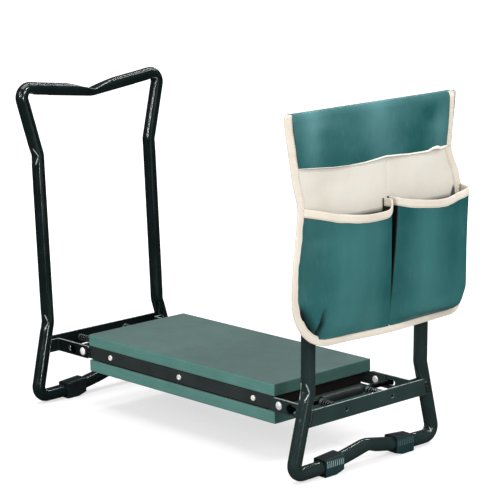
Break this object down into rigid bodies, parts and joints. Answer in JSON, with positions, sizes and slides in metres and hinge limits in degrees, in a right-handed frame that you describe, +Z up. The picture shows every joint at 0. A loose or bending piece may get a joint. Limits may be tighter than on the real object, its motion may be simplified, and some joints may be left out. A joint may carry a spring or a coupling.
{
  "type": "folding garden kneeler seat",
  "caption": "Reversible garden kneeler and seat: padded board between folding tube frames with spring locks, and a tool pouch hung on one frame.",
  "frame": {"origin": "on the ground under the centre of the padded seat", "axes": "+Z up; +X along the seat towards the frame that carries the pouch; -Y is the front"},
  "size_m": [0.653, 0.3385, 0.5083],
  "materials": {
    "foam": "matte closed-cell foam",
    "board": "raw dark board",
    "frame_paint": "satin powder coat",
    "bright_steel": "zinc plated",
    "washer_plastic": "matte",
    "foot_rubber": "matte ribbed",
    "grip_plastic": "matte",
    "spring_steel": "black oxide",
    "pouch_green": "coated oxford cloth",
    "pouch_canvas": "plain canvas",
    "pouch_binding": "woven tape"
  },
  "bodies": {
    "seat": {"upper_foam_pad": "foam", "lower_foam_pad": "foam", "seat_board": "board", "front_side_rail": "frame_paint", "rear_side_rail": "frame_paint", "front_rail_screws": "bright_steel", "rear_rail_screws": "bright_steel", "left_pivot_rivets": "bright_steel", "left_pivot_washers": "washer_plastic", "right_pivot_rivets": "bright_steel", "right_pivot_washers": "washer_plastic"},
    "left_leg": {"left_leg_tube": "frame_paint", "left_cross_rail": "frame_paint", "left_front_hinge_arm": "frame_paint", "left_rear_hinge_arm": "frame_paint", "left_weld_beads": "frame_paint", "left_front_foot_sleeve": "foot_rubber", "left_rear_foot_sleeve": "foot_rubber"},
    "right_leg": {"right_leg_tube": "frame_paint", "right_cross_rail": "frame_paint", "right_front_hinge_arm": "frame_paint", "right_rear_hinge_arm": "frame_paint", "right_weld_beads": "frame_paint", "right_front_foot_sleeve": "foot_rubber", "right_rear_foot_sleeve": "foot_rubber", "pouch_hanging_sleeve": "pouch_green"},
    "left_lock": {"left_lock_rod": "frame_paint", "left_lock_grip": "grip_plastic", "left_spring_guide_pins": "frame_paint", "left_lock_springs": "spring_steel"},
    "right_lock": {"right_lock_rod": "frame_paint", "right_lock_grip": "grip_plastic", "right_spring_guide_pins": "frame_paint", "right_lock_springs": "spring_steel"},
    "pouch": {"pouch_back_panel": "pouch_canvas", "pouch_front_flap": "pouch_green", "pouch_left_pocket": "pouch_green", "pouch_right_pocket": "pouch_green", "pouch_edge_binding": "pouch_binding"}
  },
  "joints": [
    {"name": "left_leg_fold", "type": "hinge", "parent": "seat", "child": "left_leg", "pos_m": [-0.22, 0, 0.0889], "axis": [0, 1, 0], "range_deg": [0, 95]},
    {"name": "right_leg_fold", "type": "hinge", "parent": "seat", "child": "right_leg", "pos_m": [0.22, 0, 0.0889], "axis": [0, -1, 0], "range_deg": [0, 88]},
    {"name": "left_lock_pull", "type": "slide", "parent": "left_leg", "child": "left_lock", "axis": [-1, 0, 0], "range_m": [0, 0.008], "stiffness_N_per_m": 1200, "deforming": ["left_lock_springs"]},
    {"name": "right_lock_pull", "type": "slide", "parent": "right_leg", "child": "right_lock", "axis": [1, 0, 0], "range_m": [0, 0.008], "stiffness_N_per_m": 1200, "deforming": ["right_lock_springs"]},
    {"name": "pouch_swing", "type": "hinge", "parent": "right_leg", "child": "pouch", "pos_m": [0.3137, 0, 0.5078], "axis": [0, -1, 0], "range_deg": [0, 90]}
  ]
}
